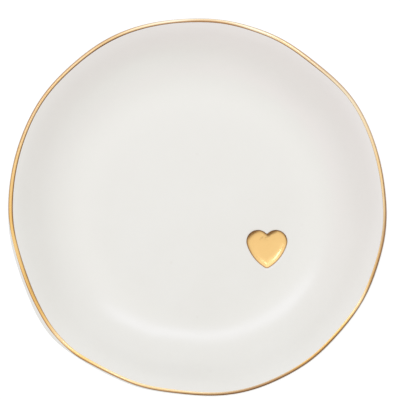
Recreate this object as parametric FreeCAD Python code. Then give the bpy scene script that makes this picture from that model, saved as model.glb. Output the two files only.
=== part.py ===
import FreeCAD, Part
import math
import os

# Ring dish: a shallow hand-formed ceramic dish with a gilded lip and a stamped, gilded heart.
# The dish is one fired shell on an unglazed foot ring. Its wall was pressed out by hand, so the
# lip wanders in plan and rises and falls a little, while the floor stays flat.
# Lengths are in millimetres and angles in degrees. +Z is up, and the origin is on the table
# under the middle of the dish.

# Shell, measured on a mean section through the wall
DISH_DIAMETER = 110.0
DISH_HEIGHT = 16.5
FLOOR_THICKNESS = 3.0
LIP_THICKNESS = 1.3
INNER_SLOPE = 43.0
OUTER_SLOPE = 52.0
INNER_CORNER_RADIUS = 17.0
OUTER_CORNER_RADIUS = 20.0

# The lip as pressed by hand: bearing from +X, then radius as a share of the mean radius
LIP_OUTLINE_SHARES = (
    (0, 0.9975), (12, 0.9934), (23, 0.997), (35, 1.0006), (51, 0.9867), (64, 0.9938),
    (74, 0.995), (82, 0.997), (93, 0.9953), (105, 1.003), (118, 1.0097), (131, 1.005),
    (144, 1.0077), (158, 1.0017), (174, 0.9979), (187, 0.997), (198, 0.993), (212, 1.0102),
    (223, 1.0194), (232, 1.0117), (241, 0.999), (251, 0.9968), (264, 0.9873), (276, 0.999),
    (287, 1.0064), (297, 1.006), (306, 1.0072), (318, 1.0014), (332, 1.0046), (342, 1.0012),
    (351, 1.0016),
)
# The share of that wandering that the floor's edge keeps, and the lip's drop as it is pressed out
FLOOR_WANDER_SHARE = 0.3
LIP_DROP_SHARE = 0.8

# Gold laid over the lip and inside the heart
GILDING_THICKNESS = 0.15

# Foot ring under the shell
FOOT_HEIGHT = 1.5
FOOT_WIDTH = 4.2
FOOT_INSET = 3.5
FOOT_TAPER = 0.6
FOOT_EDGE_BEVEL = 0.4

# Heart stamped into the floor
HEART_WIDTH = 12.0
HEART_HEIGHT = 11.2
HEART_NOTCH_DEPTH = 1.3
HEART_SIDE_RADIUS = 12.0
HEART_TIP_RADIUS = 1.2
HEART_NOTCH_RADIUS = 0.5
HEART_DEPTH = 1.2
HEART_BEVEL = 0.5
HEART_EDGE_BEVEL = 0.25
HEART_INSET = 10.7
HEART_BEARING = -31.0
CUT_OVERRUN = 1.0

# Steps of the section round the inner corner, up the inner wall, round the trimmed outer corner
# and over the lip
INNER_CORNER_STEPS = 4
INNER_WALL_STEPS = 2
OUTER_CORNER_STEPS = 6
LIP_STEPS = 4

QUARTER_TURN = math.pi / 2
FULL_TURN = 360.0
MIDDLE = FreeCAD.Vector(0, 0, 0)
UP = FreeCAD.Vector(0, 0, 1)


# Section of the shell, as points of radius and height

def along_arc(centre, radius, start, end, steps):
    """Points of an arc from one angle to another, both ends included."""
    angles = [start + (end - start) * step / steps for step in range(steps + 1)]
    return [(centre[0] + radius * math.cos(a), centre[1] + radius * math.sin(a)) for a in angles]


def along_line(start, end, steps):
    """Points of a straight run, both ends included."""
    shares = [step / steps for step in range(steps + 1)]
    return [tuple(a + (b - a) * share for a, b in zip(start, end)) for share in shares]


def corner_centre(wall_point, slope, level, radius):
    """Centre of the arc that turns a level surface up into the wall that ends at wall_point."""
    wall_run = (wall_point[1] - level) / math.tan(slope)
    setback = radius * math.tan(slope / 2)
    return (wall_point[0] - wall_run - setback, level + radius)


inner_slope = math.radians(INNER_SLOPE)
outer_slope = math.radians(OUTER_SLOPE)
floor_level = FOOT_HEIGHT + FLOOR_THICKNESS

lip_radius = LIP_THICKNESS / 2
lip_centre = (
    DISH_DIAMETER / 2 - GILDING_THICKNESS - lip_radius,
    DISH_HEIGHT - GILDING_THICKNESS - lip_radius,
)
lip_start = outer_slope - QUARTER_TURN
lip_end = inner_slope + QUARTER_TURN
lip = along_arc(lip_centre, lip_radius, lip_start, lip_end, LIP_STEPS)
gold = along_arc(lip_centre, lip_radius + GILDING_THICKNESS, lip_start, lip_end, LIP_STEPS)

under_centre = corner_centre(lip[0], outer_slope, FOOT_HEIGHT, OUTER_CORNER_RADIUS)
floor_centre = corner_centre(lip[-1], inner_slope, floor_level, INNER_CORNER_RADIUS)
under_radius = under_centre[0]
floor_radius = floor_centre[0]
outside = along_arc(
    under_centre, OUTER_CORNER_RADIUS, -QUARTER_TURN, lip_start, OUTER_CORNER_STEPS) + lip
inner_corner = along_arc(
    floor_centre, INNER_CORNER_RADIUS, -QUARTER_TURN, inner_slope - QUARTER_TURN, INNER_CORNER_STEPS)
inside = inner_corner + along_line(inner_corner[-1], lip[-1], INNER_WALL_STEPS)[1:]


# Hand-formed rings, and the skins lofted through them

def ring(point):
    """The closed line round the dish through one point of the section."""
    radius, level = point
    rise = max(0, (level - floor_level) / (lip_centre[1] - floor_level))
    wander = FLOOR_WANDER_SHARE + (1 - FLOOR_WANDER_SHARE) * rise
    places = []
    for bearing, share in LIP_OUTLINE_SHARES:
        push = DISH_DIAMETER / 2 * (share - 1)
        place = FreeCAD.Vector(radius + push * wander, 0, level - push * LIP_DROP_SHARE * rise)
        places.append(FreeCAD.Rotation(UP, bearing).multVec(place))
    bearings = [float(bearing) for bearing, share in LIP_OUTLINE_SHARES]
    curve = Part.BSplineCurve()
    curve.interpolate(Points=places, PeriodicFlag=True, Parameters=bearings + [FULL_TURN])
    return Part.Wire([curve.toShape()])


def skin(points, ruled):
    """Faces through the rings of these points, in straight bands or as one smooth curve."""
    return Part.makeLoft([ring(point) for point in points], False, ruled).Faces


def closed_solid(faces):
    """The solid bounded by faces that meet edge to edge."""
    boundary = Part.makeCompound(faces)
    boundary.sewShape()
    return Part.makeSolid(boundary.Shells[0])


# Heart, as six arcs about its own middle that flow into each other: tip, sides, lobes and notch

lobe_radius = HEART_WIDTH / 2 + HEART_NOTCH_DEPTH - math.sqrt(HEART_WIDTH * HEART_NOTCH_DEPTH)
lobe_centre = FreeCAD.Vector(HEART_WIDTH / 2 - lobe_radius, HEART_HEIGHT / 2 - lobe_radius, 0)
notch_rise = math.sqrt((lobe_radius + HEART_NOTCH_RADIUS) ** 2 - lobe_centre.x ** 2)
notch_centre = FreeCAD.Vector(0, lobe_centre.y + notch_rise, 0)
tip_centre = FreeCAD.Vector(0, HEART_TIP_RADIUS - HEART_HEIGHT / 2, 0)
heart_place = FreeCAD.Rotation(UP, HEART_BEARING).multVec(
    FreeCAD.Vector(floor_radius - HEART_INSET, 0, 0))


def side_centre():
    """Centre of the right side's arc, which runs smoothly into the lobe and into the tip."""
    to_tip = HEART_SIDE_RADIUS - HEART_TIP_RADIUS
    to_lobe = HEART_SIDE_RADIUS - lobe_radius
    climb = lobe_centre - tip_centre
    reach = climb.Length
    along = (reach ** 2 + to_tip ** 2 - to_lobe ** 2) / (2 * reach)
    aside = math.sqrt(to_tip ** 2 - along ** 2)
    climb.normalize()
    return tip_centre + climb * along + UP.cross(climb) * aside


def arc(centre, radius, start, end):
    """The anticlockwise arc about a centre, from the side of one point to the side of another."""
    circle = Part.Circle(centre, UP, radius)
    return Part.ArcOfCircle(circle, circle.parameter(start), circle.parameter(end)).toShape()


def mirrored(point):
    return FreeCAD.Vector(-point.x, point.y, point.z)


def heart_outline(inset, level):
    """The closed outline of the heart at its place in the floor, drawn in by an inset."""
    side = side_centre()
    below_tip = tip_centre * 2 - side
    beyond_lobe = lobe_centre * 2 - side
    outline = Part.Wire([
        arc(side, HEART_SIDE_RADIUS - inset, tip_centre, lobe_centre),
        arc(lobe_centre, lobe_radius - inset, beyond_lobe, notch_centre),
        arc(notch_centre, HEART_NOTCH_RADIUS + inset, mirrored(lobe_centre), lobe_centre),
        arc(mirrored(lobe_centre), lobe_radius - inset, notch_centre, mirrored(beyond_lobe)),
        arc(mirrored(side), HEART_SIDE_RADIUS - inset, mirrored(lobe_centre), tip_centre),
        arc(tip_centre, HEART_TIP_RADIUS - inset, mirrored(below_tip), below_tip),
    ])
    outline.translate(heart_place + UP * level)
    return outline


def lowest_face(solid):
    return min(solid.Faces, key=lambda face: face.CenterOfMass.z)


def pressed_form(outline, depth, bevel):
    """A block that stands on an outline, with its bottom edge bevelled."""
    block = Part.Face(outline).extrude(UP * depth)
    return block.makeChamfer(bevel, lowest_face(block).Edges)


# Pieces

def dish_body():
    """The glazed shell: smooth inside, trimmed in narrow bands outside, stamped with the heart."""
    faces = skin(outside, ruled=True) + skin(inside, ruled=False)
    faces += [Part.Face(ring(outside[0])), Part.Face(ring(inside[0]))]
    outline = heart_outline(0, floor_level - HEART_DEPTH)
    stamp = pressed_form(outline, HEART_DEPTH + CUT_OVERRUN, HEART_BEVEL)
    shell = closed_solid(faces).cut(stamp)
    floor = min(shell.Faces, key=lambda face: abs(face.CenterOfMass.z - floor_level))
    mouth = [wire for wire in floor.Wires if not wire.isSame(floor.OuterWire)]
    return shell.makeChamfer(HEART_EDGE_BEVEL, mouth[0].Edges)


def rim_gilding():
    """The gold over the rounded lip, down to where the lip meets the wall on both sides."""
    faces = skin(lip, ruled=True) + skin(gold, ruled=True)
    for end in (0, -1):
        faces += skin([lip[end], gold[end]], ruled=True)
    return closed_solid(faces)


def heart_gilding():
    """The gold that lines the stamped heart evenly, up to its softened edge."""
    outline = heart_outline(0, floor_level - HEART_DEPTH)
    inner_outline = heart_outline(GILDING_THICKNESS, floor_level - HEART_DEPTH + GILDING_THICKNESS)
    inner_bevel = HEART_BEVEL - (2 - math.sqrt(2)) * GILDING_THICKNESS
    filling = pressed_form(outline, HEART_DEPTH - HEART_EDGE_BEVEL, HEART_BEVEL)
    return filling.cut(pressed_form(inner_outline, HEART_DEPTH, inner_bevel))


def foot_ring():
    """The bare clay ring that the dish stands on, turned with sloping sides and eased edges."""
    outer = under_radius - FOOT_INSET
    inner = outer - FOOT_WIDTH
    corners = [
        FreeCAD.Vector(inner, 0, FOOT_HEIGHT),
        FreeCAD.Vector(outer, 0, FOOT_HEIGHT),
        FreeCAD.Vector(outer - FOOT_TAPER, 0, 0),
        FreeCAD.Vector(inner + FOOT_TAPER, 0, 0),
    ]
    section = Part.Face(Part.makePolygon(corners + corners[:1]))
    turned = section.revolve(MIDDLE, UP, FULL_TURN)
    return turned.makeChamfer(FOOT_EDGE_BEVEL, lowest_face(turned).Edges)


os.makedirs("parts", exist_ok=True)
for make in (dish_body, rim_gilding, heart_gilding, foot_ring):
    piece = make()
    piece.exportStep(os.path.join("parts", make.__name__ + ".step"))
    print(make.__name__, "valid" if piece.isValid() else "not valid", round(piece.Volume, 2), "mm3")
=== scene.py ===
import math

import bmesh
import bpy
import numpy as np
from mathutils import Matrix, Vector
from mathutils.bvhtree import BVHTree


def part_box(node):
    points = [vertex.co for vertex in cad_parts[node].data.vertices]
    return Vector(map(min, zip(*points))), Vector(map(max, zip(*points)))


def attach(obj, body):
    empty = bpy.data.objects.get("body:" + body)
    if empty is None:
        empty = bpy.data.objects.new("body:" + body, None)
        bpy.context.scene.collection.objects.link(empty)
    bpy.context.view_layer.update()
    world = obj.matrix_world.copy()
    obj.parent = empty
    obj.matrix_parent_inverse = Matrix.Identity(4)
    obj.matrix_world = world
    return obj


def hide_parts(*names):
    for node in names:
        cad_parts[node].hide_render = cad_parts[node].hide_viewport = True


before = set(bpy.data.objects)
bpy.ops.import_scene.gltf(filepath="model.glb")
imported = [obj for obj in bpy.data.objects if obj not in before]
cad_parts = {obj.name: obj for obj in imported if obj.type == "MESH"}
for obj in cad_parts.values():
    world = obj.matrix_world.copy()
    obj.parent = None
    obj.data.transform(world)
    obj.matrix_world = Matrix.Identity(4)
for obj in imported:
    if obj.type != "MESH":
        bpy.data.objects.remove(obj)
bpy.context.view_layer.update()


# Dish body: one thin shell of pale clay under a satin warm white glaze. It was turned as a plain
# saucer, its wall was pressed out by hand while soft, so the lip wanders and dips, and a heart was
# stamped into its floor before firing.
MM = 0.001
AROUND = 360
FULL_TURN = 2 * math.pi
DISH_RADIUS = 55 * MM
DISH_HEIGHT = 16.5 * MM
FLOOR_THICKNESS = 3 * MM
LIP_ROUND = 0.78 * MM
GILDING_THICKNESS = 0.02 * MM
INNER_SLOPE = 45
OUTER_SLOPE = 52
LIP_SLOPE = 30
INNER_CORNER = 22 * MM
OUTER_CORNER = 20 * MM
FLARE_ROUND = 18 * MM
FLAT_MARGIN = 0.8 * MM
SEAM_GAP = 0.001 * MM
SHARP_EDGE = math.radians(40)

under_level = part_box("foot_ring")[1].z
floor_level = under_level + FLOOR_THICKNESS
lip_centre = (DISH_RADIUS - GILDING_THICKNESS - LIP_ROUND, DISH_HEIGHT - GILDING_THICKNESS - LIP_ROUND)


def along_arc(centre, radius, start, end, steps):
    """Section points of radius and height along an arc between two angles in degrees."""
    angles = np.radians(np.linspace(start, end, steps + 1))
    return [(centre[0] + radius * math.cos(a), centre[1] + radius * math.sin(a)) for a in angles]


def along_line(start, end, steps):
    """Section points along a straight run, without its first point."""
    shares = [step / steps for step in range(1, steps + 1)]
    return [tuple(a + (b - a) * share for a, b in zip(start, end)) for share in shares]


def corner_centre(wall_point, slope, level, radius):
    """Centre of the arc that turns a level surface up into the wall that ends at wall_point."""
    run = (wall_point[1] - level) / math.tan(math.radians(slope))
    return (wall_point[0] - run - radius * math.tan(math.radians(slope / 2)), level + radius)


def turned(name, section):
    """A new piece spun once round the upright axis from its section of radius and height."""
    bpy.ops.object.select_all(action="DESELECT")
    bpy.ops.mesh.primitive_plane_add(size=MM)
    piece = bpy.context.object
    piece.name = name
    piece.data.name = name
    bpy.ops.object.mode_set(mode="EDIT")
    bpy.ops.mesh.select_mode(type="VERT")
    bpy.ops.mesh.merge(type="CENTER")
    bpy.ops.transform.translate(value=(section[0][0], 0, section[0][1]))
    for (radius, level), (next_radius, next_level) in zip(section, section[1:]):
        step = (next_radius - radius, 0, next_level - level)
        bpy.ops.mesh.extrude_region_move(TRANSFORM_OT_translate={"value": step})
    bpy.ops.mesh.select_all(action="SELECT")
    bpy.ops.mesh.spin(steps=AROUND, angle=FULL_TURN, center=(0, 0, 0), axis=(0, 0, 1))
    bpy.ops.mesh.select_all(action="SELECT")
    bpy.ops.mesh.remove_doubles(threshold=SEAM_GAP)
    bpy.ops.mesh.normals_make_consistent(inside=False)
    bpy.ops.object.mode_set(mode="OBJECT")
    return piece


LIP_STEPS = 16
FLARE_STEPS = 6
CORNER_STEPS = 16
WALL_STEPS = 6
UNDER_STEPS = 3
lip = along_arc(lip_centre, LIP_ROUND, OUTER_SLOPE - 90, LIP_SLOPE + 90, LIP_STEPS)
flare_centre = along_arc(lip_centre, LIP_ROUND - FLARE_ROUND, LIP_SLOPE + 90, LIP_SLOPE + 90, 1)[0]
flare = along_arc(flare_centre, FLARE_ROUND, LIP_SLOPE + 90, INNER_SLOPE + 90, FLARE_STEPS)
under_centre = corner_centre(lip[0], OUTER_SLOPE, under_level, OUTER_CORNER)
floor_centre = corner_centre(flare[-1], INNER_SLOPE, floor_level, INNER_CORNER)
under_corner = along_arc(under_centre, OUTER_CORNER, -90, OUTER_SLOPE - 90, CORNER_STEPS)
floor_corner = along_arc(floor_centre, INNER_CORNER, INNER_SLOPE - 90, -90, CORNER_STEPS)
underside = along_line((0, under_level), (under_centre[0] - FLAT_MARGIN, under_level), UNDER_STEPS)
dish = turned("glazed_dish", (
    [(0, under_level)] + underside + under_corner
    + along_line(under_corner[-1], lip[0], WALL_STEPS)[:-1] + lip + flare[1:]
    + along_line(flare[-1], floor_corner[0], WALL_STEPS)[:-1] + floor_corner
    + [(floor_centre[0] - FLAT_MARGIN, floor_level)]
))

# The wandering lip is felt out on the gilding's plain solid by level rays from outside, one set for
# each degree, and its slow waves alone are kept, which leaves the solid's facets out.
FLOOR_WANDER_SHARE = 0.3
LIP_DROP_SHARE = 0.78
WAVES_KEPT = 40
RAY_LEVELS = 60


def slow_waves(values):
    """The same closed row of values, one for each degree, without its fast waves."""
    waves = np.fft.rfft(values)
    waves[WAVES_KEPT:] = 0
    return np.fft.irfft(waves, len(values))


def lip_outline():
    """Radius of the lip's outer edge at each degree of bearing."""
    gilding = BVHTree.FromObject(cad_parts["rim_gilding"], bpy.context.evaluated_depsgraph_get())
    low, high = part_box("rim_gilding")
    levels = np.linspace(low.z, high.z, RAY_LEVELS)
    outline = []
    for bearing in np.radians(np.arange(AROUND)):
        outward = Vector((math.cos(bearing), math.sin(bearing), 0))
        starts = [outward * 2 * DISH_RADIUS + Vector((0, 0, level)) for level in levels]
        hits = [gilding.ray_cast(start, -outward, 2 * DISH_RADIUS)[0] for start in starts]
        outline.append(max(hit.to_2d().length for hit in hits if hit))
    return slow_waves(outline)


lip_push = lip_outline() - DISH_RADIUS


def round_the_dish(values, place):
    """The value at a place's bearing, from a closed row of one value for each degree."""
    bearing = math.degrees(math.atan2(place.y, place.x))
    return np.interp(bearing, np.arange(AROUND), values, period=AROUND)


def wall_rise(place):
    """How far up the wall a place lies, from 0 at the floor to 1 at the middle of the lip's round."""
    return max(0, (place.z - floor_level) / (lip_centre[1] - floor_level))


def press_by_hand(piece):
    """Moves a turned piece's points out and down as the wall was pressed, most at the lip."""
    for vertex in piece.data.vertices:
        radius = vertex.co.to_2d().length
        if radius < SEAM_GAP:
            continue
        push = round_the_dish(lip_push, vertex.co)
        rise = wall_rise(vertex.co)
        wander = FLOOR_WANDER_SHARE + (1 - FLOOR_WANDER_SHARE) * rise
        reach = min(1, radius / floor_centre[0])
        stretch = 1 + push * wander * reach / radius
        vertex.co.x *= stretch
        vertex.co.y *= stretch
        vertex.co.z -= push * LIP_DROP_SHARE * rise


# At the lower left the glaze gathered in a bead on the lip's outer edge. Each row is a bearing in
# degrees, and how far the bead stands out there in millimetres.
BEAD = (
    (182, 0), (193, 0.28), (200, 0.24), (208, 0.18), (216, 0.44),
    (222, 0.51), (226, 0.29), (230, 0.05), (234, 0),
)
BEAD_DROP = 3 * MM
BEAD_POWER = 2
bead_bearings, bead_heights = np.array(BEAD).T
bead = slow_waves(np.interp(np.arange(AROUND), bead_bearings, bead_heights * MM))
for vertex in dish.data.vertices:
    radius = vertex.co.to_2d().length
    out = max(0, radius - lip_centre[0]) / LIP_ROUND
    down = max(0, lip_centre[1] - vertex.co.z) / BEAD_DROP
    swell = round_the_dish(bead, vertex.co) * out ** BEAD_POWER * max(0, 1 - down)
    vertex.co.x += vertex.co.x / max(radius, SEAM_GAP) * swell
    vertex.co.y += vertex.co.y / max(radius, SEAM_GAP) * swell

# Painted warm shade: the wall above its foot is tinted pinker, most at the upper right, standing in for
# warm light bounced onto the side of the dish that is turned from the lamp.
WARMEST_SHADE_BEARING = math.radians(62)
WARM_SHADE_FROM, WARM_SHADE_FULL = 0.05, 0.17
WARM_SHADE_COMMON, WARM_SHADE_LEAN = 0.35, 0.75
painted_warm_shade = dish.data.attributes.new("painted_warm_shade", "FLOAT", "POINT")
for vertex in dish.data.vertices:
    away = math.cos(math.atan2(vertex.co.y, vertex.co.x) - WARMEST_SHADE_BEARING)
    shaded_up_wall = np.interp(wall_rise(vertex.co), (WARM_SHADE_FROM, WARM_SHADE_FULL), (0, 1))
    painted_warm_shade.data[vertex.index].value = min(1, max(0, WARM_SHADE_COMMON + WARM_SHADE_LEAN * away)) * shaded_up_wall
press_by_hand(dish)

# The stamped heart: tip, sides, lobes and notch are arcs that flow into each other.
HEART_NOTCH_DEPTH = 1.3 * MM
HEART_SIDE_RADIUS = 12 * MM
HEART_TIP_RADIUS = 1.2 * MM
HEART_NOTCH_RADIUS = 0.5 * MM
HEART_DEPTH = 1.2 * MM
LEAST_ROUND = 0.02 * MM
TIP_STEPS, SIDE_STEPS, LOBE_STEPS, NOTCH_STEPS = 12, 60, 96, 12

heart_low, heart_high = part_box("heart_gilding")
heart_middle = (heart_low + heart_high) / 2
heart_half_width, heart_half_height, _ = (heart_high - heart_low) / 2
lobe_radius = heart_half_width + HEART_NOTCH_DEPTH - math.sqrt(2 * heart_half_width * HEART_NOTCH_DEPTH)
lobe_centre = Vector((heart_half_width - lobe_radius, heart_half_height - lobe_radius))


def side_centre():
    """Centre of the right side's arc, which runs smoothly into the lobe and into the tip."""
    tip_centre = Vector((0, HEART_TIP_RADIUS - heart_half_height))
    to_tip = HEART_SIDE_RADIUS - HEART_TIP_RADIUS
    to_lobe = HEART_SIDE_RADIUS - lobe_radius
    climb = lobe_centre - tip_centre
    along = (climb.length_squared + to_tip ** 2 - to_lobe ** 2) / (2 * climb.length)
    aside = math.sqrt(to_tip ** 2 - along ** 2)
    return tip_centre + climb.normalized() * along + climb.normalized().orthogonal() * aside


def arc_points(centre, radius, start, end, steps):
    """Points of an arc between two angles, without its last point."""
    angles = np.linspace(start, end, steps, endpoint=False)
    return [centre + radius * Vector((math.cos(a), math.sin(a))) for a in angles]


def heart_outline(inset):
    """One point for each degree round the heart, from its tip anticlockwise, drawn in by an inset."""
    side = side_centre()
    lobe, flank = lobe_radius - inset, HEART_SIDE_RADIUS - inset
    tip = max(LEAST_ROUND, HEART_TIP_RADIUS - inset)
    notch = max(LEAST_ROUND, HEART_NOTCH_RADIUS + inset)
    tip_centre = Vector((0, side.y - math.sqrt((flank - tip) ** 2 - side.x ** 2)))
    notch_centre = Vector((0, lobe_centre.y + math.sqrt((lobe + notch) ** 2 - lobe_centre.x ** 2)))
    down = -math.pi / 2
    to_tip = math.atan2(*(tip_centre - side).yx)
    to_lobe = math.atan2(*(lobe_centre - side).yx)
    to_notch = math.atan2(*(notch_centre - lobe_centre).yx)
    right = arc_points(tip_centre, tip, down, to_tip, TIP_STEPS)
    right += arc_points(side, flank, to_tip, to_lobe, SIDE_STEPS)
    right += arc_points(lobe_centre, lobe, to_lobe, to_notch, LOBE_STEPS)
    right += arc_points(notch_centre, notch, to_notch - math.pi, down, NOTCH_STEPS)
    notch_bottom = notch_centre - Vector((0, notch))
    left = [Vector((-point.x, point.y)) for point in reversed(right[1:])]
    return [point + heart_middle.to_2d() for point in right + [notch_bottom] + left]


def heart_turn(vertex):
    """How far round the heart a point lies, anticlockwise from just before the tip."""
    aside = vertex.co - heart_middle
    half_step = math.pi / AROUND
    return (math.atan2(aside.y, aside.x) + math.pi / 2 + half_step) % FULL_TURN


def shape_heart(inset, level):
    """Sets the selected ring of points onto the heart's outline at a level."""
    sheet = bpy.context.object.data
    points = bmesh.from_edit_mesh(sheet)
    ring = sorted((vertex for vertex in points.verts if vertex.select), key=heart_turn)
    for vertex, place in zip(ring, heart_outline(inset)):
        vertex.co = place.to_3d() + Vector((0, 0, level))
    bmesh.update_edit_mesh(sheet)


def add_heart_face(inset, level):
    """Adds a heart-shaped face to the piece that is being edited, and selects it."""
    bpy.ops.mesh.select_mode(type="FACE")
    bpy.ops.mesh.select_all(action="DESELECT")
    bpy.ops.mesh.primitive_circle_add(
        vertices=AROUND, radius=heart_half_width, fill_type="NGON",
        location=(heart_middle.x, heart_middle.y, level))
    shape_heart(inset, level)


def press_heart(steps):
    """Insets the selected heart-shaped face once for each step of inset and level."""
    for inset, level in steps:
        bpy.ops.mesh.inset(thickness=SEAM_GAP)
        shape_heart(inset, level)


# The stamp's mouth is rounded over. Each step is an inset and a depth in millimetres.
MOUTH_COLLAR = 1.6 * MM
MOUTH_STEPS = ((-1.1, 0), (-0.8, 0.01), (-0.5, 0.04), (-0.28, 0.09), (-0.1, 0.17), (0, 0.3))
FLOOR_CUTS = 8
bpy.context.view_layer.objects.active = dish
bpy.ops.object.mode_set(mode="EDIT")
add_heart_face(-MOUTH_COLLAR, floor_level)
press_heart([(inset * MM, floor_level - depth * MM) for inset, depth in MOUTH_STEPS])
press_heart([(0, floor_level - HEART_DEPTH)])
bpy.ops.mesh.select_mode(type="EDGE")
bpy.ops.mesh.select_all(action="DESELECT")
bpy.ops.mesh.select_non_manifold()
bpy.ops.mesh.bridge_edge_loops(number_cuts=FLOOR_CUTS, interpolation="LINEAR")
bpy.ops.mesh.select_all(action="SELECT")
bpy.ops.mesh.normals_make_consistent(inside=False)
bpy.ops.object.mode_set(mode="OBJECT")
bpy.ops.object.shade_smooth_by_angle(angle=SHARP_EDGE)


def hump(value, middle, width):
    """A soft hump, 1 at its middle and falling away to both sides."""
    return math.exp(-((value - middle) / width) ** 2)


# Painted light and sheen: the glaze is painted whiter on the far half of the floor, in a ring at the foot
# of the wall that is open at its near end, in a patch on the wall at the upper left, and a little along the
# whole far wall, besides a small even share everywhere that is its own tone. The ring is a painted sheen of
# the lamp, and the rest is painted light on floor and walls. Reaches and widths are shares of the dish's
# radius.
COMMON_WHITE_SHARE = 0.26
FLOOR_PAINTED_LIGHT, FLOOR_FULL, FLOOR_FADE = 0.26, 0.5, (0.56, 0.68)
RING_PAINTED_SHEEN, RING_REACH, RING_WIDTH = 0.48, 0.63, 0.095
RING_LEAN, RING_GAP_POWER = 0.015, 8
PATCH_PAINTED_LIGHT, PATCH_REACH, PATCH_WIDTH = 0.56, 0.79, 0.075
PATCH_BEARING, PATCH_POWER = math.radians(118), 4
FAR_WALL_PAINTED_LIGHT, FAR_WALL_REACH, FAR_WALL_WIDTH = 0.22, 0.82, 0.055
FAR_WALL_COMMON = 0.7
glaze_tone_and_painted_light = dish.data.attributes.new("glaze_tone_and_painted_light", "FLOAT", "POINT")
for vertex in dish.data.vertices:
    reach = vertex.co.to_2d().length / DISH_RADIUS
    bearing = math.atan2(vertex.co.y, vertex.co.x)
    far = math.sin(bearing)
    floor = np.interp(reach, FLOOR_FADE, (1, 0)) * min(1, reach / FLOOR_FULL) * far
    ring = hump(reach, RING_REACH - RING_LEAN * far, RING_WIDTH) * (1 - max(0, -far) ** RING_GAP_POWER)
    patch = hump(reach, PATCH_REACH, PATCH_WIDTH) * max(0, math.cos(bearing - PATCH_BEARING)) ** PATCH_POWER
    far_wall = hump(reach, FAR_WALL_REACH, FAR_WALL_WIDTH) * min(1, max(0, FAR_WALL_COMMON + far))
    inside = FLOOR_PAINTED_LIGHT * floor + RING_PAINTED_SHEEN * ring + PATCH_PAINTED_LIGHT * patch + FAR_WALL_PAINTED_LIGHT * far_wall
    glaze_tone_and_painted_light.data[vertex.index].value = COMMON_WHITE_SHARE + (inside if vertex.normal.z > 0 else 0)

MIX_SHARE, MIX_FIRST, MIX_SECOND, MIX_RESULT = 0, 6, 7, 2


def add_node(tree, kind, inputs=(), **settings):
    """A node with its settings, and with each named input set to a value or fed by a socket."""
    node = tree.nodes.new(kind)
    for name, value in settings.items():
        setattr(node, name, value)
    for name, value in dict(inputs).items():
        if isinstance(value, bpy.types.NodeSocket):
            tree.links.new(value, node.inputs[name])
        else:
            node.inputs[name].default_value = value
    return node


def blended(tree, share, first, second):
    """The colour between two others that a share from 0 to 1 picks."""
    colours = {MIX_SHARE: share, MIX_FIRST: first, MIX_SECOND: second}
    return add_node(tree, "ShaderNodeMix", colours, data_type="RGBA").outputs[MIX_RESULT]


def worked_out(tree, operation, first, second):
    """The value that an operation makes of two others."""
    return add_node(tree, "ShaderNodeMath", {0: first, 1: second}, operation=operation).outputs["Value"]


def spread(tree, value, low, high, start=0, full=1):
    """A value from a start to its full size stretched to lie between two others."""
    span = {"Value": value, "From Min": start, "From Max": full, "To Min": low, "To Max": high}
    return add_node(tree, "ShaderNodeMapRange", span).outputs["Result"]


def eased(tree, value, start, full, most=1):
    """A value from a start to its full size turned into one from 0 to the most, eased at both ends."""
    span = {"Value": value, "From Min": start, "From Max": full, "To Max": most}
    return add_node(tree, "ShaderNodeMapRange", span, interpolation_type="SMOOTHSTEP").outputs["Result"]


def carried(tree, name):
    """The value that the points of a piece carry under a name."""
    return add_node(tree, "ShaderNodeAttribute", attribute_name=name).outputs["Fac"]


CLOUD_DETAIL, CLOUD_ROUGHNESS = 3, 0.55
CLOUD_LOW, CLOUD_HIGH = 0.2, 0.8
GRAIN_DETAIL, GRAIN_ROUGHNESS = 2, 0.5
SPECKLESS_SHARE = 0.8
SPECK_LARGEST = 0.16
SPECK_SOFTNESS = 0.06


def fired_surface_group():
    """What the kiln leaves on every surface here: slow clouds of tone, fine grain and a few specks."""
    tree = bpy.data.node_groups.new("fired_surface", "ShaderNodeTree")
    for name in ("Cloud Scale", "Grain Scale", "Speck Scale"):
        tree.interface.new_socket(name, in_out="INPUT", socket_type="NodeSocketFloat")
    for name in ("Clouds", "Grain", "Specks"):
        tree.interface.new_socket(name, in_out="OUTPUT", socket_type="NodeSocketFloat")
    given = tree.nodes.new("NodeGroupInput").outputs
    place = add_node(tree, "ShaderNodeTexCoord").outputs["Object"]
    clouds = add_node(tree, "ShaderNodeTexNoise", {
        "Vector": place, "Scale": given["Cloud Scale"],
        "Detail": CLOUD_DETAIL, "Roughness": CLOUD_ROUGHNESS})
    grain = add_node(tree, "ShaderNodeTexNoise", {
        "Vector": place, "Scale": given["Grain Scale"],
        "Detail": GRAIN_DETAIL, "Roughness": GRAIN_ROUGHNESS})
    cells = add_node(tree, "ShaderNodeTexVoronoi", {"Vector": place, "Scale": given["Speck Scale"]})
    chance = add_node(tree, "ShaderNodeSeparateColor", {"Color": cells.outputs["Color"]})
    size = spread(tree, chance.outputs["Red"], 0, SPECK_LARGEST, SPECKLESS_SHARE, 1)
    inside = worked_out(tree, "SUBTRACT", size, cells.outputs["Distance"])
    add_node(tree, "NodeGroupOutput", {
        "Clouds": eased(tree, clouds.outputs["Fac"], CLOUD_LOW, CLOUD_HIGH),
        "Grain": grain.outputs["Fac"],
        "Specks": spread(tree, inside, 0, 1, 0, SPECK_SOFTNESS),
    })
    return tree


fired_surface = fired_surface_group()


def new_finish(name, cloud_scale, grain_scale, speck_scale):
    """A new material with its node tree, its shader and what the fired surface gives it."""
    finish = bpy.data.materials.new(name)
    finish.use_nodes = True
    tree = finish.node_tree
    scales = {"Cloud Scale": cloud_scale, "Grain Scale": grain_scale, "Speck Scale": speck_scale}
    surface = add_node(tree, "ShaderNodeGroup", scales, node_tree=fired_surface)
    return finish, tree, tree.nodes["Principled BSDF"], surface.outputs


GLAZE_SPECK_SHARE = 0.24
GLAZE_ROUGHNESS = (0.22, 0.27)
GLAZE_RIPPLE = 0.012 * MM
GLAZE_REFRACTION = 1.55


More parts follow.
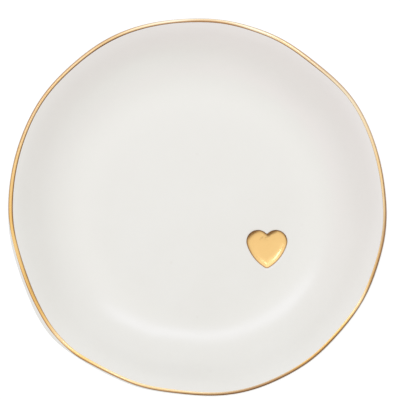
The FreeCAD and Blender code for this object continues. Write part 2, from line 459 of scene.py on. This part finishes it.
def satin_glaze():
    """Warm white glaze, whiter in some places with painted light and sheen and pinker on the wall with
    painted warm shade, with a faint rippled skin.
    """
    finish, tree, shader, surface = new_finish(
        "satin_glaze", cloud_scale=70, grain_scale=520, speck_scale=260)
    even = (0.83, 0.815, 0.773, 1)
    worn = (0.813, 0.794, 0.747, 1)
    # The whiter tone is painted light and sheen.
    deep = (0.868, 0.85, 0.803, 1)
    speck = (0.72, 0.69, 0.63, 1)
    # The pinker tone is painted warm shade on the wall.
    warm_shade_tint = (0.844, 0.792, 0.766, 1)
    tone = blended(tree, surface["Clouds"], even, worn)
    faint = spread(tree, surface["Specks"], 0, GLAZE_SPECK_SHARE)
    specked = blended(tree, faint, tone, speck)
    warm_shaded = blended(tree, carried(tree, "painted_warm_shade"), specked, warm_shade_tint)
    glazed = blended(tree, carried(tree, "glaze_tone_and_painted_light"), warm_shaded, deep)
    tree.links.new(glazed, shader.inputs["Base Color"])
    tree.links.new(spread(tree, surface["Clouds"], *GLAZE_ROUGHNESS), shader.inputs["Roughness"])
    ripple = add_node(tree, "ShaderNodeBump", {"Height": surface["Grain"], "Distance": GLAZE_RIPPLE})
    tree.links.new(ripple.outputs["Normal"], shader.inputs["Normal"])
    shader.inputs["IOR"].default_value = GLAZE_REFRACTION
    return finish


dish.data.materials.append(satin_glaze())
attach(dish, "root")
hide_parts("dish_body")


# Gilded lip: gold lustre brushed by hand over the rounded lip and fired on. The brush wandered, so
# the band is uneven, and at the lower left it leaves the lip's outer edge bare.
BAND_STEPS = 24
BAND_BACK = 0.1 * MM
FEATHER_SHARE = 0.2
FEATHER_LEAST = 0.004 * MM
FEATHER_POWER = 2

# Each row is a bearing in degrees, where the band starts and ends, in millimetres over the lip from the
# foot of its outer round, how richly the gold was laid on, and the share of the band's width over which it
# thins out to brown at its outer and at its inner edge. The richness is partly a painted highlight, as the
# pale gold stands in for the lip's bright reflections. The brown edges are partly thin gold and partly
# painted shade for the lip's dark reflections, most on the inner edge at the top and on the outer edge at
# the lower right.
BAND_EDGES = (
    (0, 1.08, 2.16, 0.38, 0.86, 0.04), (12, 1.0, 2.16, 0.6, 0.52, 0.06),
    (24, 0.9, 2.15, 0.3, 0.42, 0.06), (36, 0.8, 2.13, 0, 0.6, 0.1),
    (52, 0.95, 2.32, 0.3, 0.62, 0.36), (62, 0.93, 2.3, 0.5, 0.42, 0.3),
    (72, 0.9, 2.27, 0, 0.3, 0.34), (82, 0.95, 2.14, 0.36, 0.2, 0.8),
    (89, 0.85, 2.11, 0.25, 0.27, 0.9), (96, 0.75, 2.08, 0, 0.3, 0.55),
    (107, 0.87, 2.2, 0.3, 0.4, 0.46), (118, 1.02, 2.32, 0.6, 0.62, 0.6),
    (128, 1.04, 2.29, 0.46, 0.58, 0.48), (138, 1.05, 2.27, 0.66, 0.72, 0.45),
    (150, 1.07, 2.26, 0.55, 0.76, 0.4), (172, 1.0, 2.44, 0.82, 0.32, 0.44),
    (185, 1.05, 2.5, 0.97, 0.32, 0.48), (192, 1.2, 2.6, 0.8, 0.12, 0.18),
    (200, 1.4, 2.74, 0.92, 0.26, 0.34), (206, 1.56, 2.87, 1, 0.32, 0.38),
    (213, 1.68, 2.9, 1, 0.36, 0.36), (219, 1.48, 2.68, 0.72, 0.44, 0.16),
    (224, 1.2, 2.56, 0.48, 0.46, 0.08), (229, 1.08, 2.34, 0.9, 0.62, 0.06),
    (235, 1.36, 2.48, 0.9, 0.62, 0.05), (241, 1.38, 2.45, 0.6, 0.58, 0.05),
    (247, 1.4, 2.42, 0.62, 0.58, 0.04), (259, 1.18, 2.28, 0.56, 0.7, 0.04),
    (268, 1.12, 2.2, 0.5, 0.85, 0.04), (288, 1.15, 2.14, 0.1, 1.85, 0.04),
    (296, 1.18, 2.15, 0.35, 1.7, 0.04), (303, 1.22, 2.17, 1, 1.25, 0.04),
    (312, 1.22, 2.2, 1, 1.15, 0.04), (320, 1.22, 2.22, 1, 0.74, 0.04),
    (330, 1.22, 2.24, 0.5, 0.45, 0.04), (338, 1.22, 2.25, 0.78, 1.1, 0.04),
    (346, 1.17, 2.22, 0.62, 1.15, 0.04), (353, 1.12, 2.18, 0.3, 1.25, 0.04),
)
lip_length = LIP_ROUND * math.radians(LIP_SLOPE - OUTER_SLOPE + 180)
bearings, band_starts, band_ends, richness_and_highlight_rows, outer_thin_and_shade_rows, inner_thin_and_shade_rows = np.array(BAND_EDGES).T


def along_band(values):
    """A closed row of one value for each degree, led smoothly through the values of the band's rows."""
    return slow_waves(np.interp(np.arange(AROUND), bearings, values, period=AROUND))


band_start = along_band(band_starts * MM)
band_end = along_band(band_ends * MM)
richness_and_highlight = along_band(richness_and_highlight_rows)
outer_thin_and_shade = along_band(outer_thin_and_shade_rows)
inner_thin_and_shade = along_band(inner_thin_and_shade_rows)


def over_lip(way, proud):
    """Radius and height at a way over the lip and down the inner wall, standing proud of the glaze."""
    turn = math.radians(OUTER_SLOPE - 90) + min(way, lip_length) / LIP_ROUND
    past = max(0, way - lip_length)
    reach = LIP_ROUND + proud
    slope = math.radians(LIP_SLOPE)
    radius = lip_centre[0] + reach * math.cos(turn) - past * math.cos(slope)
    return radius, lip_centre[1] + reach * math.sin(turn) - past * math.sin(slope)


def feather(share):
    """How far the gold stands proud across the band, from next to nothing at both its edges."""
    edge = min(1, min(share, 1 - share) / FEATHER_SHARE)
    return FEATHER_LEAST + (GILDING_THICKNESS - FEATHER_LEAST) * (1 - (1 - edge) ** FEATHER_POWER)


def lustre_marks(piece):
    """The marks that the points of a gold piece carry: how rich the gold is and how well it covers, both
    also carrying painted highlight and painted shade.
    """
    for name in ("rich", "lustre"):
        piece.data.attributes.new(name, "FLOAT", "POINT")
    return piece.data.attributes["rich"], piece.data.attributes["lustre"]


across = np.linspace(0, 1, BAND_STEPS + 1)
face = [over_lip(share * lip_length, feather(share)) for share in across]
back = [over_lip(share * lip_length, -BAND_BACK) for share in across[::-1]]
gilded_lip = turned("gilded_lip", face + back + face[:1])
rich, lustre = lustre_marks(gilded_lip)
for vertex in gilded_lip.data.vertices:
    radius = vertex.co.to_2d().length
    aside, up = radius - lip_centre[0], vertex.co.z - lip_centre[1]
    share = (math.atan2(up, aside) - math.radians(OUTER_SLOPE - 90)) * LIP_ROUND / lip_length
    start = round_the_dish(band_start, vertex.co)
    end = round_the_dish(band_end, vertex.co)
    way = start + share * (end - start)
    new_radius, new_level = over_lip(way, math.hypot(aside, up) - LIP_ROUND)
    vertex.co = (vertex.co.x * new_radius / radius, vertex.co.y * new_radius / radius, new_level)
    # Richness and cover carry a painted highlight and painted shade besides the gold's own unevenness.
    rich.data[vertex.index].value = round_the_dish(richness_and_highlight, vertex.co)
    outer_cover_and_shade = share / round_the_dish(outer_thin_and_shade, vertex.co)
    inner_cover_and_shade = (1 - share) / round_the_dish(inner_thin_and_shade, vertex.co)
    lustre.data[vertex.index].value = min(1, outer_cover_and_shade, inner_cover_and_shade)
press_by_hand(gilded_lip)
bpy.ops.object.shade_smooth_by_angle(angle=SHARP_EDGE)

LEAST_COVER = 0.1
GOLD_ROUGHNESS = (0.16, 0.27)
GOLD_UNEVENNESS = 0.05 * MM
BRUSH_MARKS = 0.01 * MM


def gold_lustre():
    """Fired gold, browner where the brush left it thin and where shade is painted on, paler where a
    highlight is painted on, with the brush's slow unevenness.
    """
    finish, tree, shader, surface = new_finish(
        "gold_lustre", cloud_scale=160, grain_scale=900, speck_scale=900)
    rich_gold = (0.96, 0.665, 0.26, 1)
    deep_gold = (0.93, 0.615, 0.23, 1)
    # The pale golds partly paint highlights, and the thin gold partly paints shade.
    pale_highlight_gold = (0.95, 0.87, 0.71, 1)
    faint_highlight_gold = (0.92, 0.84, 0.67, 1)
    thin_and_shaded_gold = (0.41, 0.225, 0.1, 1)
    deep = blended(tree, surface["Clouds"], rich_gold, deep_gold)
    pale = blended(tree, surface["Clouds"], pale_highlight_gold, faint_highlight_gold)
    tone = blended(tree, carried(tree, "rich"), pale, deep)
    cover_and_shade = eased(tree, carried(tree, "lustre"), LEAST_COVER, 1)
    tree.links.new(blended(tree, cover_and_shade, thin_and_shaded_gold, tone), shader.inputs["Base Color"])
    tree.links.new(spread(tree, surface["Clouds"], *GOLD_ROUGHNESS), shader.inputs["Roughness"])
    slow = add_node(tree, "ShaderNodeBump", {"Height": surface["Clouds"], "Distance": GOLD_UNEVENNESS})
    brushed = add_node(tree, "ShaderNodeBump", {
        "Height": surface["Grain"], "Distance": BRUSH_MARKS, "Normal": slow.outputs["Normal"]})
    tree.links.new(brushed.outputs["Normal"], shader.inputs["Normal"])
    shader.inputs["Metallic"].default_value = 1
    return finish


gold = gold_lustre()
gilded_lip.data.materials.append(gold)
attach(gilded_lip, "root")
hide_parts("rim_gilding")


# Gilded heart: the same lustre painted into the stamped heart. It lines the recess from just under
# the softened mouth as a shallow rounded hollow, steepest along its edge.
HEART_BACK = 0.02 * MM
LINING_TOP = 0.27 * MM
MIDDLE_DROP = 0.06 * MM
LUSTRE_FADE_AND_SHADE = 0.26 * MM
HEART_RICHNESS = 0.85

# Each step is an inset and a depth in millimetres.
LINING_STEPS = (
    (0.04, 0.285), (0.15, 0.36), (0.3, 0.455), (0.5, 0.57), (0.75, 0.69), (1, 0.785), (1.25, 0.86),
    (1.5, 0.92), (1.75, 0.97), (2, 1.01), (2.3, 1.045), (2.6, 1.07),
)
bpy.ops.object.select_all(action="DESELECT")
bpy.ops.mesh.primitive_circle_add(
    vertices=AROUND, radius=heart_half_width, fill_type="NGON", location=heart_middle)
gilded_heart = bpy.context.object
gilded_heart.name = "gilded_heart"
gilded_heart.data.name = "gilded_heart"
bpy.ops.object.transform_apply()
bpy.ops.object.mode_set(mode="EDIT")
shape_heart(HEART_BACK, floor_level - HEART_DEPTH + HEART_BACK)
bpy.ops.mesh.extrude_region_move(TRANSFORM_OT_translate={"value": (0, 0, HEART_DEPTH - LINING_TOP)})
shape_heart(HEART_BACK, floor_level - LINING_TOP)
press_heart([(inset * MM, floor_level - depth * MM) for inset, depth in LINING_STEPS])
bpy.ops.mesh.poke(offset=-MIDDLE_DROP)
bpy.ops.mesh.select_all(action="SELECT")
bpy.ops.mesh.normals_make_consistent(inside=False)
bpy.ops.object.mode_set(mode="OBJECT")
bpy.ops.object.shade_smooth_by_angle(angle=SHARP_EDGE)
rich, lustre = lustre_marks(gilded_heart)
# The gold browns towards the top of the lining, partly thin lustre and partly painted shade along the rim
# of the recess.
for vertex in gilded_heart.data.vertices:
    below = floor_level - LINING_TOP - vertex.co.z
    rich.data[vertex.index].value = HEART_RICHNESS
    lustre.data[vertex.index].value = min(1, below / LUSTRE_FADE_AND_SHADE)
gilded_heart.data.materials.append(gold)
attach(gilded_heart, "root")
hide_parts("heart_gilding")


# Foot ring: the bare clay ring that the dish stands on, turned with sloping sides. It was wiped
# free of glaze before firing and its edges are worn round.
FOOT_WIDTH = 4.2 * MM
FOOT_TAPER = 0.6 * MM
FOOT_ROUND = 0.45 * MM
FOOT_SEAT = 0.2 * MM
FOOT_STEPS = 6
foot_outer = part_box("foot_ring")[1].x
foot_inner = foot_outer - FOOT_WIDTH
seat_level = under_level + FOOT_SEAT
lean = math.degrees(math.atan2(FOOT_TAPER, under_level))
turn_in = FOOT_TAPER + FOOT_ROUND * math.tan(math.radians(45 - lean / 2))
inner_edge = (foot_inner + turn_in, FOOT_ROUND)
outer_edge = (foot_outer - turn_in, FOOT_ROUND)
foot = turned("bare_foot", (
    [(foot_inner, seat_level), (foot_inner, under_level)]
    + along_arc(inner_edge, FOOT_ROUND, 180 + lean, 270, FOOT_STEPS)
    + along_arc(outer_edge, FOOT_ROUND, -90, -lean, FOOT_STEPS)
    + [(foot_outer, under_level), (foot_outer, seat_level), (foot_inner, seat_level)]
))
bpy.ops.object.shade_smooth_by_angle(angle=SHARP_EDGE)

GROG_SHARE = 0.7
CLAY_ROUGHNESS = (0.75, 0.95)
CLAY_GRAIN = 0.06 * MM


def bare_clay():
    """Unglazed fired clay, dry and grainy, with darker grog showing here and there."""
    finish, tree, shader, surface = new_finish(
        "bare_clay", cloud_scale=110, grain_scale=2600, speck_scale=700)
    pale = (0.78, 0.73, 0.65, 1)
    warm = (0.7, 0.63, 0.54, 1)
    grog = (0.42, 0.33, 0.25, 1)
    tone = blended(tree, surface["Clouds"], pale, warm)
    shown = spread(tree, surface["Specks"], 0, GROG_SHARE)
    tree.links.new(blended(tree, shown, tone, grog), shader.inputs["Base Color"])
    tree.links.new(spread(tree, surface["Grain"], *CLAY_ROUGHNESS), shader.inputs["Roughness"])
    grain = add_node(tree, "ShaderNodeBump", {"Height": surface["Grain"], "Distance": CLAY_GRAIN})
    tree.links.new(grain.outputs["Normal"], shader.inputs["Normal"])
    return finish


foot.data.materials.append(bare_clay())
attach(foot, "root")
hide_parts("foot_ring")


# Floor and light: a white table before a white background, lit by the room and by a soft lamp above
# and beyond the dish. A longer window in the lamp's place, and a paper tent that is dark on its near
# right, show only in reflections.
FLOOR_SIZE = 8
FLOOR_WHITE = (0.42, 0.42, 0.42, 1)
FLOOR_SHADE = (0.34, 0.34, 0.34, 1)
FLOOR_GLOW = 0.74
FLOOR_BOUNCE = 0.38
WHITE = (1, 1, 1, 1)


def seen_ways(tree):
    """The ways in which the white background is seen: straight, in a mirror or through glass."""
    ray = add_node(tree, "ShaderNodeLightPath").outputs
    some = worked_out(tree, "MAXIMUM", ray["Is Camera Ray"], ray["Is Glossy Ray"])
    return worked_out(tree, "MAXIMUM", some, ray["Is Transmission Ray"])


def joined(tree, share, first, second):
    """The shader between two others that a share from 0 to 1 picks."""
    return add_node(tree, "ShaderNodeMixShader", {0: share, 1: first, 2: second}).outputs["Shader"]


def glowing_white(tree, tone, strength):
    """A dull white that takes a shadow and also gives off some light."""
    dull = add_node(tree, "ShaderNodeBsdfDiffuse", {"Color": tone})
    glow = add_node(tree, "ShaderNodeEmission", {"Color": WHITE, "Strength": strength})
    both = {0: dull.outputs["BSDF"], 1: glow.outputs["Emission"]}
    return add_node(tree, "ShaderNodeAddShader", both).outputs["Shader"]


def white_table():
    """White with a soft shadow where it is seen, lighting the dish from below, and clear from beneath."""
    table = bpy.data.materials.new("white_table")
    table.use_nodes = True
    tree = table.node_tree
    tree.nodes.clear()
    lit = glowing_white(tree, FLOOR_WHITE, FLOOR_BOUNCE)
    shown = glowing_white(tree, FLOOR_SHADE, FLOOR_GLOW)
    above = joined(tree, seen_ways(tree), lit, shown)
    clear = add_node(tree, "ShaderNodeBsdfTransparent").outputs["BSDF"]
    back = add_node(tree, "ShaderNodeNewGeometry").outputs["Backfacing"]
    add_node(tree, "ShaderNodeOutputMaterial", {"Surface": joined(tree, back, above, clear)})
    table.cycles.emission_sampling = "NONE"
    return table


bpy.ops.object.select_all(action="DESELECT")
bpy.ops.mesh.primitive_plane_add(size=FLOOR_SIZE)
table = bpy.context.object
table.name = "table"
table.data.materials.append(white_table())

TENT_RADIUS = 3
TENT_PALE = (0.94, 0.86, 0.74, 1)
TENT_BRIGHT = (1.2, 1.16, 1.1, 1)
TENT_DARK = (0.2, 0.125, 0.08, 1)
TENT_GLOW = 1
BRIGHT_BEARING = math.radians(100)
BRIGHT_FROM, BRIGHT_FULL = 0.25, 0.75
DARK_BEARING = math.radians(-55)
DARK_FROM, DARK_FULL = 0.42, 0.85
LOW_FROM, LOW_FULL = 0.72, 0.96
LOW_SHARE = 0.75
FAR_FROM, FAR_FULL = -0.15, 0.5
LEVEL = (1, 1, 0)


def tent_share(tree, way, bearing, start, full):
    """How far a direction lies on the tent's side at a bearing, from 0 at the start to 1."""
    side = (math.cos(bearing), math.sin(bearing), 0)
    facing = add_node(tree, "ShaderNodeVectorMath", {0: way, 1: side}, operation="DOT_PRODUCT")
    return eased(tree, facing.outputs["Value"], start, full)


def paper_tent():
    """Cream paper, bright on the far side, dark on the near right and along its foot on the near side."""
    paper = bpy.data.materials.new("paper_tent")
    paper.use_nodes = True
    tree = paper.node_tree
    tree.nodes.clear()
    place = add_node(tree, "ShaderNodeTexCoord").outputs["Object"]
    way = add_node(tree, "ShaderNodeVectorMath", {0: place}, operation="NORMALIZE").outputs["Vector"]
    bright = tent_share(tree, way, BRIGHT_BEARING, BRIGHT_FROM, BRIGHT_FULL)
    level_way = add_node(tree, "ShaderNodeVectorMath", {0: way, 1: LEVEL}, operation="MULTIPLY")
    tilt = add_node(tree, "ShaderNodeVectorMath", {0: level_way.outputs["Vector"]}, operation="LENGTH")
    low = eased(tree, tilt.outputs["Value"], LOW_FROM, LOW_FULL, LOW_SHARE)
    far = tent_share(tree, way, BRIGHT_BEARING, FAR_FROM, FAR_FULL)
    near_foot = worked_out(tree, "MULTIPLY", low, worked_out(tree, "SUBTRACT", 1, far))
    side = tent_share(tree, way, DARK_BEARING, DARK_FROM, DARK_FULL)
    dark = worked_out(tree, "MAXIMUM", near_foot, side)
    colour = blended(tree, dark, blended(tree, bright, TENT_PALE, TENT_BRIGHT), TENT_DARK)
    glow = add_node(tree, "ShaderNodeEmission", {"Color": colour, "Strength": TENT_GLOW})
    add_node(tree, "ShaderNodeOutputMaterial", {"Surface": glow.outputs["Emission"]})
    paper.cycles.emission_sampling = "NONE"
    return paper


bpy.ops.mesh.primitive_uv_sphere_add(radius=TENT_RADIUS)
tent = bpy.context.object
tent.name = "tent"
tent.data.materials.append(paper_tent())
for way in ("camera", "diffuse", "transmission", "volume_scatter", "shadow"):
    setattr(tent, "visible_" + way, False)

LAMP_SIZE = (0.62, 0.25)
LAMP_POWER = 1.1
LAMP_COLOUR = (0.65, 0.78, 1)
WINDOW_SIZE = (0.92, 0.25)
WINDOW_POWER = 2
WINDOW_COLOUR = (0.76, 0.785, 0.99)
LIGHT_DISTANCE = 1
LIGHT_BEARING = math.radians(101)
LIGHT_FROM_ABOVE = math.radians(26)


def soft_light(name, size, power, colour):
    """A cool soft light above and beyond the dish, facing it."""
    bpy.ops.object.light_add(type="AREA")
    light = bpy.context.object
    light.name = name
    light.data.shape = "RECTANGLE"
    light.data.size, light.data.size_y = size
    light.data.energy = power
    light.data.color = colour
    light.location = LIGHT_DISTANCE * Vector((
        math.sin(LIGHT_FROM_ABOVE) * math.cos(LIGHT_BEARING),
        math.sin(LIGHT_FROM_ABOVE) * math.sin(LIGHT_BEARING),
        math.cos(LIGHT_FROM_ABOVE)))
    light.rotation_euler = (-LIGHT_FROM_ABOVE, 0, LIGHT_BEARING - math.pi / 2)
    light.visible_camera = False
    return light


soft_light("lamp", LAMP_SIZE, LAMP_POWER, LAMP_COLOUR).visible_glossy = False
soft_light("window", WINDOW_SIZE, WINDOW_POWER, WINDOW_COLOUR).visible_diffuse = False

ROOM_LIGHT = 0.787
OVERHEAD_LIGHT = 0.37
OVERHEAD_POWER = 3
BACKDROP_LIGHT = 1
world = bpy.data.worlds.new("white_room")
bpy.context.scene.world = world
world.use_nodes = True
room = world.node_tree
room.nodes.clear()
sky = add_node(room, "ShaderNodeTexCoord").outputs["Generated"]
height = add_node(room, "ShaderNodeSeparateXYZ", {0: sky}).outputs["Z"]
overhead = worked_out(room, "POWER", worked_out(room, "MAXIMUM", height, 0), OVERHEAD_POWER)
strength = spread(room, overhead, ROOM_LIGHT, ROOM_LIGHT + OVERHEAD_LIGHT)
lighting = add_node(room, "ShaderNodeBackground", {"Color": WHITE, "Strength": strength})
backdrop = add_node(room, "ShaderNodeBackground", {"Color": WHITE, "Strength": BACKDROP_LIGHT})
seen = joined(room, seen_ways(room), lighting.outputs["Background"], backdrop.outputs["Background"])
add_node(room, "ShaderNodeOutputWorld", {"Surface": seen})


# Camera: straight above and far off with a long lens, so the dish is seen with hardly any perspective.
# The dish sits a little low and left in the frame.
FRAME_PIXELS = 400
DISH_PIXEL = (197.5, 207.5)
DISH_RADIUS_PIXELS = 190
SENSOR_WIDTH = 36
LENS_LENGTH = 200
pixel = DISH_RADIUS / DISH_RADIUS_PIXELS
bpy.ops.object.camera_add(rotation=(0, 0, 0))
camera = bpy.context.object
camera.data.sensor_width = SENSOR_WIDTH
camera.data.lens = LENS_LENGTH
camera.location = (
    (FRAME_PIXELS / 2 - DISH_PIXEL[0]) * pixel,
    (DISH_PIXEL[1] - FRAME_PIXELS / 2) * pixel,
    lip_centre[1] + FRAME_PIXELS * pixel * LENS_LENGTH / SENSOR_WIDTH,
)
bpy.context.scene.camera = camera
bpy.context.scene.view_settings.view_transform = "Standard"
